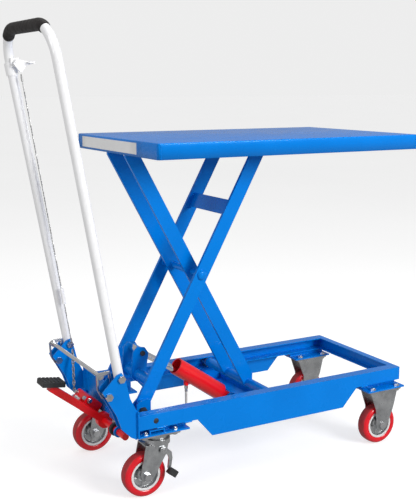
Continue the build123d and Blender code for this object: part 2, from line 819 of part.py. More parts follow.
with BuildPart() as handle_grip:
    near_turn, far_turn = GRIP_SWEEPS[-1], GRIP_SWEEPS[1]
    with BuildLine(handle_plane) as grip_path:
        ThreePointArc(bend_point(-1, near_turn), bend_point(-1, near_turn / 2), bend_point(-1, 0))
        Line(bend_point(-1, 0), bend_point(1, 0))
        ThreePointArc(bend_point(1, 0), bend_point(1, far_turn / 2), bend_point(1, far_turn))
    with BuildSketch(Plane(origin=grip_path.line @ 0, z_dir=grip_path.line % 0)):
        Circle(13.5)
        Circle(TUBE + FIT, mode=Mode.SUBTRACT)
    sweep()
save(handle_grip.part, "handle_grip")

CLAMP_ALONG = (LEVER_Z - HINGE_Z) / cos(radians(HANDLE_TILT)) - 14.5
CLAMP_X, CLAMP_Z = handle_point(CLAMP_ALONG)
with BuildPart() as lever_clamp:
    ring = Plane(
        origin=(CLAMP_X, HANDLE_Y, CLAMP_Z),
        x_dir=(0, 1, 0),
        z_dir=(-sin(radians(HANDLE_TILT)), 0, cos(radians(HANDLE_TILT))),
    )
    with BuildSketch(ring):
        Circle(14)
        Circle(TUBE + FIT, mode=Mode.SUBTRACT)
    extrude(amount=14, both=True)
    with BuildSketch(across(HANDLE_Y - 15)):
        with Locations((LEVER_X, LEVER_Z)):
            Rectangle(20, 20)
        with Locations((LEVER_X, LEVER_Z)):
            Circle(3, mode=Mode.SUBTRACT)
    extrude(amount=1.6, both=True)
    with BuildSketch(across(HANDLE_Y - 20)):
        with Locations((LEVER_X, LEVER_Z)):
            Circle(3)
    extrude(amount=6.5, both=True)
save(lever_clamp.part, "lever_clamp")

LEVER_Y = CABLE_Y
with BuildPart() as release_lever:
    with BuildSketch(across(LEVER_Y)):
        with BuildLine():
            Polyline(
                (LEVER_X - 7, LEVER_Z - 3),
                (LEVER_X + 2, LEVER_Z + 8),
                (LEVER_X + 22, LEVER_Z + 3),
                (LEVER_X + 40, LEVER_Z + 2),
                (LEVER_X + 40, LEVER_Z - 2),
                (LEVER_X + 24, LEVER_Z - 6),
                (LEVER_X + 14, LEVER_Z - 21),
                (LEVER_X + 8, LEVER_Z - 21),
                close=True,
            )
        make_face()
        with Locations((LEVER_X, LEVER_Z)):
            Circle(3 + FIT, mode=Mode.SUBTRACT)
    extrude(amount=1.5, both=True)
    with BuildSketch(across(LEVER_Y - 7)):
        with Locations((LEVER_X + 33, LEVER_Z)):
            Rectangle(14, 4)
    extrude(amount=8.5, both=True)
save(release_lever.part, "release_lever")

# the release cable runs down the handle, and the chain goes on from it to the pump's valve
CABLE_FOOT_X, CABLE_FOOT_Z = handle_point(3, 2.0)
CABLE_HEAD_X, CABLE_HEAD_Z = handle_point(660, 12.0)
cable_line = Vector(CABLE_HEAD_X - CABLE_FOOT_X, 0, CABLE_HEAD_Z - CABLE_FOOT_Z)
CABLE = 1.5
SLEEVE = 9.0
with BuildPart() as release_cable:
    cable_plane = Plane(origin=(CABLE_FOOT_X, CABLE_Y, CABLE_FOOT_Z), z_dir=cable_line.normalized())
    with BuildSketch(cable_plane):
        Circle(CABLE)
    extrude(amount=cable_line.length)
    with BuildSketch(cable_plane.offset(108)):
        Circle(SLEEVE / 2)
    extrude(amount=32)
save(release_cable.part, "release_cable")

CHAIN_HEAD = (REAR - 64.5, CABLE_Y, 281.0)
CHAIN_FOOT = (REAR - 76.0, 96.0, 182.0)
chain_line = Vector(*CHAIN_HEAD) - Vector(*CHAIN_FOOT)
with BuildPart() as release_chain:
    with BuildSketch(Plane(origin=CHAIN_FOOT, z_dir=chain_line.normalized())):
        Circle(2.6)
    extrude(amount=chain_line.length)
save(release_chain.part, "release_chain")

with BuildPart() as valve_lever:
    with BuildSketch(across(PUMP_Y + PUMP_HALF + 16)):
        with Locations((VALVE_X, VALVE_Z)):
            Circle(9)
        with Locations((VALVE_X - 14, VALVE_Z + 1)):
            Rectangle(28, 9)
    extrude(amount=3.7, both=True)
    with BuildSketch(Plane.XY.offset(VALVE_Z - 3.5)):
        with Locations((VALVE_X - 24, PUMP_Y + PUMP_HALF + 24)):
            Rectangle(9, 12)
    extrude(amount=9)
save(valve_lever.part, "valve_lever")

# ---- handle latch ----
with BuildPart() as handle_latch:
    for side in (-1, 1):
        with BuildSketch(across(side * (HANDLE_Y - 6))):
            with BuildLine():
                Polyline(
                    (REAR - 118, 296),
                    (REAR - 110, 303),
                    (REAR - 86, 305),
                    (REAR - 82.5, 288),
                    (REAR - 85, 262),
                    (REAR - 89, 244),
                    (REAR - 105, 244),
                    (REAR - 116, 264),
                    close=True,
                )
            make_face()
            offset(amount=-4.5, mode=Mode.SUBTRACT)
            with Locations((REAR - 107, 294)):
                Circle(8)
            with Locations((LATCH_X, LATCH_Z)):
                Circle(9)
            with Locations((LATCH_X, LATCH_Z)):
                Circle(5 + FIT, mode=Mode.SUBTRACT)
        extrude(amount=2, both=True)
    with BuildSketch(across(0)):
        with Locations((REAR - 107, 294)):
            Circle(4.5)
    extrude(amount=HANDLE_Y - 6, both=True)
save(handle_latch.part, "handle_latch")

# ---- casters and wheels ----
with BuildPart() as caster_bolts:
    for side in (-1, 1):
        spots = (
            (FRONT_WHEEL_X, side * FRONT_WHEEL_Y, FRONT_PITCH, FRONT_PLATE_Z),
            (SWIVEL_X, side * REAR_WHEEL_Y, REAR_PITCH, REAR_PLATE_Z),
        )
        for x, y, pitch, plate_z in spots:
            with BuildSketch(Plane.XY.offset(plate_z - 4)):
                with Locations((x, y)):
                    with GridLocations(*pitch, 2, 2):
                        Circle(BOLT)
            extrude(amount=14)
            for base, tall in ((plate_z + 4, 5), (plate_z - 8, 4)):
                with BuildSketch(Plane.XY.offset(base)):
                    with Locations((x, y)):
                        with GridLocations(*pitch, 2, 2):
                            RegularPolygon(6.2, 6, major_radius=False)
                extrude(amount=tall)
save(caster_bolts.part, "caster_bolts")

with BuildPart() as front_caster_forks:
    for side in (-1, 1):
        mid_y = side * FRONT_WHEEL_Y
        with BuildSketch(Plane.XY.offset(FRONT_PLATE_Z - 4)):
            with Locations((FRONT_WHEEL_X, mid_y)):
                RectangleRounded(100, 72, 5)
        extrude(amount=4)
        for offset_y in (-CHEEK_IN - CHEEK / 2, CHEEK_IN + CHEEK / 2):
            with BuildSketch(across(mid_y + offset_y)):
                with BuildLine():
                    Polyline(
                        (FRONT_WHEEL_X - 38, FRONT_PLATE_Z - 4),
                        (FRONT_WHEEL_X + 49, FRONT_PLATE_Z - 4),
                        (FRONT_WHEEL_X + 37, 96),
                        (FRONT_WHEEL_X + 17, 44),
                        (FRONT_WHEEL_X + 9, 38),
                        (FRONT_WHEEL_X - 9, 38),
                        (FRONT_WHEEL_X - 15, 44),
                        (FRONT_WHEEL_X - 20, 96),
                        close=True,
                    )
                make_face()
                with Locations((FRONT_WHEEL_X, WHEEL)):
                    Circle(AXLE + FIT, mode=Mode.SUBTRACT)
            extrude(amount=CHEEK / 2, both=True)
        with Locations((FRONT_WHEEL_X, mid_y, FRONT_PLATE_Z - 4)):
            with GridLocations(*FRONT_PITCH, 2, 2):
                Hole(BOLT + FIT, depth=10)
save(front_caster_forks.part, "front_caster_forks")

with BuildPart() as front_axles:
    for side in (-1, 1):
        with BuildSketch(across(side * FRONT_WHEEL_Y)):
            with Locations((FRONT_WHEEL_X, WHEEL)):
                Circle(AXLE)
        extrude(amount=CHEEK_IN + CHEEK + 3, both=True)
        for end in (-1, 1):
            with BuildSketch(across(side * FRONT_WHEEL_Y + end * (CHEEK_IN + CHEEK + 3.5))):
                with Locations((FRONT_WHEEL_X, WHEEL)):
                    RegularPolygon(8, 6, major_radius=False)
            extrude(amount=3.5, both=True)
save(front_axles.part, "front_axles")

with BuildPart() as rear_caster_plates:
    for y in pair(REAR_WHEEL_Y):
        with BuildSketch(Plane.XY.offset(REAR_PLATE_Z - 4)):
            with Locations((SWIVEL_X, y)):
                RectangleRounded(98, 48, 5)
        extrude(amount=4)
        with BuildSketch(Plane.XY.offset(REAR_PLATE_Z - 12)):
            with Locations((SWIVEL_X, y)):
                Circle(23)
        extrude(amount=8)
        with BuildSketch(Plane.XY.offset(REAR_PLATE_Z - 12)):
            with Locations((SWIVEL_X, y)):
                Circle(6 + FIT)
        extrude(amount=9, mode=Mode.SUBTRACT)
        with Locations((SWIVEL_X, y, REAR_PLATE_Z - 4)):
            with GridLocations(*REAR_PITCH, 2, 2):
                Hole(BOLT + FIT, depth=10)
save(rear_caster_plates.part, "rear_caster_plates")

FORK_TOP = REAR_PLATE_Z - 12.5
SWIVEL_NAMES = {-1: "right", 1: "left"}
for side, word in SWIVEL_NAMES.items():
    mid_y = side * REAR_WHEEL_Y
    with BuildPart() as rear_fork:
        with BuildSketch(Plane.XY.offset(FORK_TOP - 12)):
            with Locations((SWIVEL_X, mid_y)):
                Circle(29)
            with Locations((SWIVEL_X - 10, mid_y)):
                Rectangle(56, 2 * (CHEEK_IN + CHEEK))
        extrude(amount=3)
        with BuildSketch(Plane.XY.offset(FORK_TOP - 9)):
            with Locations((SWIVEL_X, mid_y)):
                Circle(29)
        extrude(amount=9)
        with BuildSketch(Plane.XY.offset(FORK_TOP)):
            with Locations((SWIVEL_X, mid_y)):
                Circle(6)
        extrude(amount=8)
        for offset_y in (-CHEEK_IN - CHEEK / 2, CHEEK_IN + CHEEK / 2):
            with BuildSketch(across(mid_y + offset_y)):
                with BuildLine():
                    Polyline(
                        (SWIVEL_X - 38, FORK_TOP - 9),
                        (SWIVEL_X + 18, FORK_TOP - 9),
                        (SWIVEL_X + 12, 98),
                        (REAR_WHEEL_X + 15, 43),
                        (REAR_WHEEL_X - 12, 41),
                        (REAR_WHEEL_X - 16, 58),
                        close=True,
                    )
                make_face()
                with Locations((REAR_WHEEL_X, WHEEL)):
                    Circle(AXLE + FIT, mode=Mode.SUBTRACT)
            extrude(amount=CHEEK / 2, both=True)
    save(rear_fork.part, f"rear_{word}_fork")

    with BuildPart() as rear_axle:
        with BuildSketch(across(mid_y)):
            with Locations((REAR_WHEEL_X, WHEEL)):
                Circle(AXLE)
        extrude(amount=CHEEK_IN + CHEEK + 3, both=True)
        for end in (-1, 1):
            with BuildSketch(across(mid_y + end * (CHEEK_IN + CHEEK + 3.5))):
                with Locations((REAR_WHEEL_X, WHEEL)):
                    RegularPolygon(8, 6, major_radius=False)
            extrude(amount=3.5, both=True)
        # the pin that the brake lever turns on
        with BuildSketch(across(mid_y + side * (CHEEK_IN + CHEEK + 4))):
            with Locations((SWIVEL_X + 2, 108)):
                Circle(4)
        extrude(amount=4, both=True)
    save(rear_axle.part, f"rear_{word}_axle")

    with BuildPart() as brake:
        with BuildSketch(across(mid_y + side * (CHEEK_IN + CHEEK + 4.5))):
            with BuildLine():
                Polyline(
                    (SWIVEL_X - 7, 104),
                    (SWIVEL_X - 4, 115),
                    (SWIVEL_X + 8, 115),
                    (SWIVEL_X + 22, 102),
                    (SWIVEL_X + 24, 88),
                    (SWIVEL_X + 20, 62),
                    (SWIVEL_X + 12, 62),
                    (SWIVEL_X + 15, 88),
                    (SWIVEL_X + 12, 97),
                    (SWIVEL_X + 2, 100),
                    close=True,
                )
            make_face()
            with Locations((SWIVEL_X + 2, 108)):
                Circle(4 + FIT, mode=Mode.SUBTRACT)
        extrude(amount=3, both=True)
        with BuildSketch(across(mid_y + side * (CHEEK_IN + CHEEK + 8.5))):
            with Locations((SWIVEL_X + 22, 54)):
                Rectangle(24, 16, rotation=-38)
        extrude(amount=7, both=True)
    save(brake.part, f"brake_{word}")


def wheel(x, y, name):
    """One polyurethane wheel: a tyre round a pressed hub."""
    rim = 36.0
    half = TREAD / 2
    with BuildPart() as tyre:
        with BuildSketch(Plane(origin=(x, y, WHEEL), x_dir=(0, 1, 0), z_dir=(1, 0, 0))):
            with BuildLine():
                Polyline(
                    (-half + 2, rim),
                    (-half, rim + 7),
                    (-half + 4, WHEEL - 3.5),
                    (-half + 9, WHEEL),
                    (half - 9, WHEEL),
                    (half - 4, WHEEL - 3.5),
                    (half, rim + 7),
                    (half - 2, rim),
                    close=True,
                )
            make_face()
        revolve(axis=Axis((x, 0, WHEEL), (0, 1, 0)))
    save(tyre.part, f"{name}_tyre")
    with BuildPart() as hub:
        with BuildSketch(Plane(origin=(x, y, WHEEL), x_dir=(0, 1, 0), z_dir=(1, 0, 0))):
            with BuildLine():
                Polyline(
                    (-half - 2, AXLE + FIT),
                    (-half - 2, 13),
                    (-6, 15),
                    (-6, 29),
                    (-half + 2, 31),
                    (-half + 2, rim),
                    (half - 2, rim),
                    (half - 2, 31),
                    (6, 29),
                    (6, 15),
                    (half + 2, 13),
                    (half + 2, AXLE + FIT),
                    close=True,
                )
            make_face()
        revolve(axis=Axis((x, 0, WHEEL), (0, 1, 0)))
    save(hub.part, f"{name}_hub")


for side, word in SWIVEL_NAMES.items():
    wheel(FRONT_WHEEL_X, side * FRONT_WHEEL_Y, f"front_{word}")
    wheel(REAR_WHEEL_X, side * REAR_WHEEL_Y, f"rear_{word}")
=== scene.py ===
"""The looks of the scissor lift table: materials for every part, and detailed pieces round the CAD frame.

Lengths in this script are millimetres, measured from the platform's rear edge on X, and are turned
into the frame's metres by at().
"""
import json
import math
import random

import bmesh
import bpy
from mathutils import Matrix, Vector


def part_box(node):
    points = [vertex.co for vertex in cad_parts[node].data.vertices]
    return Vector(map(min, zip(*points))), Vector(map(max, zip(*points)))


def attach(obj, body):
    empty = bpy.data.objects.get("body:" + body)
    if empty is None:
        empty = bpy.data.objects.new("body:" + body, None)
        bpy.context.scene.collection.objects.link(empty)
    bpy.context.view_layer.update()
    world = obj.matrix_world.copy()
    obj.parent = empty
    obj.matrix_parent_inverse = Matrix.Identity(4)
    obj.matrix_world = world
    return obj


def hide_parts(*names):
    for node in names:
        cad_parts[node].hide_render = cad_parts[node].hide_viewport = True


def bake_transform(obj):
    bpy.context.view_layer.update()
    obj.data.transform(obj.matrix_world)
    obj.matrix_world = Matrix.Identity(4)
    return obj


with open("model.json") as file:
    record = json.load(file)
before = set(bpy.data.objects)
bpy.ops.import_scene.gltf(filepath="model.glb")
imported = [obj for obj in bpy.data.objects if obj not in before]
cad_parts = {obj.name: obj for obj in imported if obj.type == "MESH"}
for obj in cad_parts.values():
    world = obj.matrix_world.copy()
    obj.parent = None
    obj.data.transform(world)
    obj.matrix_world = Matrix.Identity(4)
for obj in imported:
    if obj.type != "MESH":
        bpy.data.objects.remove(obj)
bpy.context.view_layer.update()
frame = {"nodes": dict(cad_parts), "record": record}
nodes = frame["nodes"]
MM = 0.001
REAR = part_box("platform_tray")[0].x
SIDES = {"left": 1, "right": -1}


def at(x, y, z):
    """A point of the row frame, from millimetres behind or ahead of the platform's rear edge."""
    return Vector((REAR + x * MM, y * MM, z * MM))


# ---- materials ----
def node_of(tree, kind, **sockets):
    """A new shader node with some of its inputs set."""
    node = tree.nodes.new(kind)
    for name, value in sockets.items():
        node.inputs[name.replace("_", " ")].default_value = value
    return node


def noise(tree, coords, scale, detail=3.0, stretch=None):
    """A noise texture in object space, drawn out along an axis if asked."""
    source = coords.outputs["Object"]
    if stretch:
        mapping = node_of(tree, "ShaderNodeMapping", Scale=stretch)
        tree.links.new(source, mapping.inputs["Vector"])
        source = mapping.outputs["Vector"]
    texture = node_of(tree, "ShaderNodeTexNoise", Scale=scale, Detail=detail)
    tree.links.new(source, texture.inputs["Vector"])
    return texture.outputs["Fac"]


def ramp(tree, fac, low, high, dark, light):
    """Turns a noise value into a colour between dark and light."""
    node = tree.nodes.new("ShaderNodeValToRGB")
    node.color_ramp.elements[0].position = low
    node.color_ramp.elements[1].position = high
    node.color_ramp.elements[0].color = (*dark, 1.0)
    node.color_ramp.elements[1].color = (*light, 1.0)
    tree.links.new(fac, node.inputs["Fac"])
    return node.outputs["Color"]


def spread(tree, fac, low, high):
    """Maps the middle of a noise to the range low..high."""
    node = node_of(tree, "ShaderNodeMapRange", From_Min=0.3, From_Max=0.7, To_Min=low, To_Max=high)
    tree.links.new(fac, node.inputs["Value"])
    return node.outputs["Result"]


def surface(name, dark, light, rough, metallic=0.0, coat=0.0, grain=None, patch=9.0, edge=0.7,
            highlight_colour=None, gloss=0.5, tint=None, stretch=None):
    """A procedural material: patchy colour and roughness, a fine grain, softened edges and, if asked, a
    painted highlight on them.

    grain is (scale, strength, distance) of the bump; the edge colour is a lighter paint laid on sharp edges
    as a painted highlight.
    """
    material = bpy.data.materials.new(name)
    material.use_nodes = True
    tree = material.node_tree
    shader = tree.nodes["Principled BSDF"]
    shader.inputs["Metallic"].default_value = metallic
    shader.inputs["Coat Weight"].default_value = coat
    shader.inputs["Coat Roughness"].default_value = 0.06
    shader.inputs["Specular IOR Level"].default_value = gloss
    if tint:
        shader.inputs["Specular Tint"].default_value = (*tint, 1.0)
    coords = tree.nodes.new("ShaderNodeTexCoord")
    blotch = noise(tree, coords, patch, 4.0)
    colour = ramp(tree, blotch, 0.3, 0.7, dark, light)
    smear = noise(tree, coords, patch * 3.1, 5.0, stretch)
    tree.links.new(spread(tree, smear, rough[0], rough[1]), shader.inputs["Roughness"])
    bevel = node_of(tree, "ShaderNodeBevel", Radius=edge * MM)
    bevel.samples = 4
    normal = bevel.outputs["Normal"]
    if highlight_colour:
        colour = edge_highlight(tree, coords, colour, highlight_colour, bevel)
    if grain:
        fine = noise(tree, coords, grain[0], 2.0, stretch)
        bump = node_of(tree, "ShaderNodeBump", Strength=grain[1], Distance=grain[2] * MM)
        tree.links.new(fine, bump.inputs["Height"])
        tree.links.new(normal, bump.inputs["Normal"])
        normal = bump.outputs["Normal"]
    tree.links.new(normal, shader.inputs["Normal"])
    tree.links.new(colour, shader.inputs["Base Color"])
    return material


def edge_highlight(tree, coords, colour, highlight_colour, bevel):
    """Paints a highlight: mixes a lighter colour in where the softened normal leaves the flat one, broken
    up by noise.
    """
    geometry = tree.nodes.new("ShaderNodeNewGeometry")
    dot = tree.nodes.new("ShaderNodeVectorMath")
    dot.operation = "DOT_PRODUCT"
    tree.links.new(geometry.outputs["Normal"], dot.inputs[0])
    tree.links.new(bevel.outputs["Normal"], dot.inputs[1])
    # mask of the painted highlight: where the softened normal turns away from the flat one
    edge = node_of(tree, "ShaderNodeMapRange", From_Min=0.995, From_Max=0.9, To_Min=0.0, To_Max=0.8)
    tree.links.new(dot.outputs["Value"], edge.inputs["Value"])
    broken = node_of(tree, "ShaderNodeMapRange", From_Min=0.52, From_Max=0.66, To_Min=0.0, To_Max=1.0)
    tree.links.new(noise(tree, coords, 60.0, 4.0), broken.inputs["Value"])
    highlight_mask = tree.nodes.new("ShaderNodeMath")
    highlight_mask.operation = "MULTIPLY"
    tree.links.new(edge.outputs["Result"], highlight_mask.inputs[0])
    tree.links.new(broken.outputs["Result"], highlight_mask.inputs[1])
    mix = tree.nodes.new("ShaderNodeMix")
    mix.data_type = "RGBA"
    for socket in mix.inputs:
        if socket.name == "B" and socket.type == "RGBA":
            socket.default_value = (*highlight_colour, 1.0)
        if socket.name == "A" and socket.type == "RGBA":
            tree.links.new(colour, socket)
    tree.links.new(highlight_mask.outputs["Value"], mix.inputs["Factor"])
    return [s for s in mix.outputs if s.type == "RGBA"][0]


PAINT_GRAIN = (900.0, 0.05, 0.15)
# the lighter blue laid on the edges is a painted highlight
BLUE = surface("blue enamel", (0.0, 0.185, 0.66), (0.0, 0.205, 0.72), (0.22, 0.32), coat=0.12,
               grain=PAINT_GRAIN, highlight_colour=(0.05, 0.36, 0.90), gloss=0.4, tint=(0.12, 0.5, 1.0))
# the lighter red laid on the edges is a painted highlight
RED = surface("red enamel", (0.80, 0.004, 0.008), (0.92, 0.008, 0.012), (0.24, 0.36), coat=0.25,
              grain=(520.0, 0.14, 0.25), highlight_colour=(0.88, 0.08, 0.08), gloss=0.4)
WHITE = surface("white enamel", (0.90, 0.90, 0.91), (0.94, 0.94, 0.95), (0.25, 0.36), coat=0.4,
                grain=PAINT_GRAIN)
ZINC = surface("zinc plate", (0.40, 0.41, 0.42), (0.60, 0.61, 0.62), (0.2, 0.42), metallic=1.0,
               grain=(700.0, 0.08, 0.2), patch=34.0)
BRIGHT = surface("bright zinc bolts", (0.50, 0.51, 0.53), (0.72, 0.72, 0.73), (0.12, 0.28), metallic=1.0,
                 grain=(1200.0, 0.06, 0.1), patch=60.0, edge=0.4)
CHROME = surface("hard chrome", (0.78, 0.78, 0.8), (0.86, 0.86, 0.87), (0.03, 0.09), metallic=1.0,
                 grain=(1500.0, 0.02, 0.1), patch=20.0, edge=0.4)
STEEL = surface("dark steel links", (0.16, 0.16, 0.17), (0.34, 0.34, 0.35), (0.25, 0.45), metallic=1.0,
                grain=(1200.0, 0.15, 0.2), patch=80.0, edge=0.3)
WIRE = surface("stranded wire", (0.38, 0.38, 0.38), (0.58, 0.58, 0.57), (0.3, 0.45), metallic=0.9,
               grain=(2500.0, 0.2, 0.1), patch=120.0, edge=0.2)
BRONZE = surface("bronze bush", (0.42, 0.27, 0.10), (0.58, 0.40, 0.18), (0.25, 0.4), metallic=1.0,
                 grain=(900.0, 0.1, 0.1), patch=50.0, edge=0.3)
TYRE = surface("red polyurethane", (0.62, 0.003, 0.012), (0.76, 0.005, 0.018), (0.16, 0.28), coat=0.4,
               grain=(300.0, 0.06, 0.3), patch=24.0, edge=1.0, gloss=0.4)
TREAD = surface("worn tread", (0.30, 0.030, 0.028), (0.52, 0.02, 0.028), (0.45, 0.65),
                grain=(420.0, 0.4, 0.4), patch=70.0, edge=0.8)
RIM = surface("white rim", (0.66, 0.66, 0.67), (0.80, 0.80, 0.80), (0.35, 0.5),
              grain=(500.0, 0.1, 0.2), patch=30.0)
RUBBER = surface("black moulded rubber", (0.012, 0.012, 0.013), (0.03, 0.03, 0.032), (0.42, 0.6),
                 grain=(1100.0, 0.35, 0.3), patch=40.0, edge=0.8)
FOAM = surface("black foam sleeve", (0.010, 0.008, 0.008), (0.022, 0.018, 0.017), (0.5, 0.7),
               grain=(1600.0, 0.6, 0.5), patch=30.0, edge=1.0, gloss=0.3)
HOSE = surface("pale oil hose", (0.46, 0.45, 0.42), (0.62, 0.61, 0.58), (0.35, 0.5),
               grain=(900.0, 0.2, 0.2), patch=60.0, edge=0.3)
PIN = surface("shaded pin", (0.05, 0.05, 0.055), (0.10, 0.10, 0.105), (0.4, 0.6), metallic=0.8,
              grain=(900.0, 0.1, 0.1), patch=40.0, edge=0.3)
LABEL = surface("blank label", (0.80, 0.80, 0.80), (0.86, 0.86, 0.86), (0.3, 0.42),
                grain=(300.0, 0.04, 0.1), patch=18.0, edge=0.2)

BY_SLOT = {
    "blue_paint": BLUE,
    "red_paint": RED,
    "white_paint": WHITE,
    "zinc": ZINC,
    "chrome": CHROME,
    "bronze": BRONZE,
    "red_tyre": TYRE,
    "black_foam": FOAM,
    "black_rubber": RUBBER,
    "hose": HOSE,
    "cable": WIRE,
}
SLOT_OF = {part["node"]: part["material_slot"] for part in frame["record"]["subparts"]}
BODY_OF = {n: b for b, group in frame["record"]["behaviour"]["bodies"].items() for n in group}


# ---- mesh helpers ----
def unit(direction):
    return Vector(direction).normalized()


def cross_axes(direction):
    """Two unit vectors square to a direction."""
    direction = unit(direction)
    start = Vector((0, 0, 1)) if abs(direction.z) < 0.9 else Vector((1, 0, 0))
    first = direction.cross(start).normalized()
    return first, direction.cross(first).normalized()


def skin(bm, rings, material=0, caps=True):
    """Faces between rings of points, one list of points per ring."""
    made = [[bm.verts.new(p) for p in ring] for ring in rings]
    for lower, upper in zip(made, made[1:]):
        count = len(lower)
        for i in range(count):
            j = (i + 1) % count
            face = bm.faces.new((lower[i], lower[j], upper[j], upper[i]))
            face.material_index = material
    if caps:
        for ring in (made[0][::-1], made[-1]):
            bm.faces.new(ring).material_index = material


def ring_at(centre, first, second, radius, count, turn=0.0):
    step = 2 * math.pi / count
    return [centre + radius * (math.cos(turn + step * i) * first + math.sin(turn + step * i) * second)
            for i in range(count)]


def turned(bm, centre, axis, profile, count=48, materials=None):
    """A solid of revolution: profile is (radius, distance along the axis) in mm, closed on itself."""
    axis = unit(axis)
    first, second = cross_axes(axis)
    loops = [[bm.verts.new(p) for p in ring_at(centre + axis * d * MM, first, second, r * MM, count)]
             for r, d in profile]
    for k, lower in enumerate(loops):
        upper = loops[(k + 1) % len(loops)]
        for i in range(count):
            j = (i + 1) % count
            face = bm.faces.new((lower[i], lower[j], upper[j], upper[i]))
            face.material_index = materials[k] if materials else 0


def rod(bm, start, end, radius, count=20, material=0, chamfer=0.0):
    """A round bar between two points, with chamfered ends."""
    axis = unit(end - start)
    first, second = cross_axes(axis)
    r, c = radius * MM, chamfer * MM
    stations = [(start, r - c), (start + axis * c, r), (end - axis * c, r), (end, r - c)]
    if not chamfer:
        stations = [(start, r), (end, r)]
    skin(bm, [ring_at(p, first, second, size, count) for p, size in stations], material)


WASHER = 1.2


def nut(bm, centre, axis, across, height, material=0):
    """A hex nut or bolt head on its washer, standing on centre, with a chamfered top."""
    axis = unit(axis)
    first, second = cross_axes(axis)
    base = centre + axis * WASHER * MM
    skin(bm, [ring_at(centre, first, second, across * 0.62 * MM, 24),
              ring_at(base, first, second, across * 0.60 * MM, 24)], material)
    corner = across / math.sqrt(3)
    top = base + axis * height * MM
    skin(bm, [ring_at(base, first, second, corner * MM, 6),
              ring_at(top - axis * 0.8 * MM, first, second, corner * MM, 6),
              ring_at(top, first, second, corner * 0.86 * MM, 6)], material)


def along(points, radius, count=12, bm=None, material=0):
    """A tube of one radius, or a radius per point, along a list of points."""
    bm = bm or bmesh.new()
    radii = radius if isinstance(radius, list) else [radius] * len(points)
    tangent = unit(points[1] - points[0])
    first, second = cross_axes(tangent)
    rings = []
    for i, point in enumerate(points):
        ahead = points[min(i + 1, len(points) - 1)] - points[max(i - 1, 0)]
        turn = tangent.rotation_difference(ahead.normalized())
        first.rotate(turn)
        second.rotate(turn)
        tangent = ahead.normalized()
        rings.append(ring_at(point, first, second, radii[i] * MM, count))
    skin(bm, rings, material)
    return bm


def bead(bm, start, end, width=2.6, seed=1, material=0):
    """A weld bead: a low rippled run of paint-covered weld between two points."""
    draw = random.Random(seed)
    length = (end - start).length / MM
    count = max(4, int(length / 1.6))
    points = [start.lerp(end, i / count) for i in range(count + 1)]
    radii = [width * (0.82 + 0.24 * (i % 2) + 0.12 * draw.random()) for i in range(count + 1)]
    radii[0] = radii[-1] = width * 0.45
    along(points, radii, 8, bm, material)


def slab(bm, outline, thick, material=0):
    """A plate: the outline's points, thickened by the vector thick."""
    back = [bm.verts.new(p) for p in outline]
    front = [bm.verts.new(p + thick) for p in outline]
    count = len(outline)
    faces = [bm.faces.new(back[::-1]), bm.faces.new(front)]
    for i in range(count):
        j = (i + 1) % count
        faces.append(bm.faces.new((back[i], back[j], front[j], front[i])))
    for face in faces:
        face.material_index = material


def block(bm, low, high, material=0, frame_of=None):
    """A rectangular block between two corners in mm, placed by a matrix if one is given."""
    spots = [Vector((x, y, z)) * MM for x in (low[0], high[0]) for y in (low[1], high[1])
             for z in (low[2], high[2])]
    if frame_of:
        spots = [frame_of @ p for p in spots]
    v = [bm.verts.new(p) for p in spots]
    for quad in ((0, 1, 3, 2), (4, 6, 7, 5), (0, 4, 5, 1), (2, 3, 7, 6), (0, 2, 6, 4), (1, 5, 7, 3)):
        bm.faces.new([v[i] for i in quad]).material_index = material


def piece(name, bm, body, materials, replaced=(), angle=38.0, bevel=0.0, segments=2):
    """Makes the gathered mesh an object that rides on a body and stands for the replaced nodes."""
    bmesh.ops.recalc_face_normals(bm, faces=bm.faces[:])
    mesh = bpy.data.meshes.new(name)
    bm.to_mesh(mesh)
    bm.free()
    obj = bpy.data.objects.new(name, mesh)
    bpy.context.scene.collection.objects.link(obj)
    for material in materials:
        mesh.materials.append(material)
    mesh.shade_smooth()
    mesh.set_sharp_from_angle(angle=math.radians(angle))
    if bevel:
        rounding = obj.modifiers.new("rounded edges", "BEVEL")
        rounding.width = bevel * MM
        rounding.segments = segments
        rounding.limit_method = "ANGLE"
        rounding.angle_limit = math.radians(angle)
        rounding.harden_normals = True
    if body:
        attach(obj, body)
    if replaced:
        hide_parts(*replaced)
    return obj


# ---- camera, lights and floor ----
def stage_mesh(name, points, faces, material):
    mesh = bpy.data.meshes.new(name)
    mesh.from_pydata(points, [], faces)
    obj = bpy.data.objects.new(name, mesh)
    mesh.materials.append(material)
    bpy.context.scene.collection.objects.link(obj)
    return obj


def area_light(name, place, target, size, power):
    light = bpy.data.lights.new(name, "AREA")
    light.shape = "RECTANGLE"
    light.size, light.size_y = size
    light.energy = power
    obj = bpy.data.objects.new(name, light)
    obj.location = place
    obj.rotation_euler = (Vector(target) - Vector(place)).to_track_quat("-Z", "Y").to_euler()
    bpy.context.scene.collection.objects.link(obj)


AMBIENT = 0.40  # light from all round
FLOOR_GLOW = 0.62  # keeps the floor pale without lighting the object
BACKDROP = 0.85


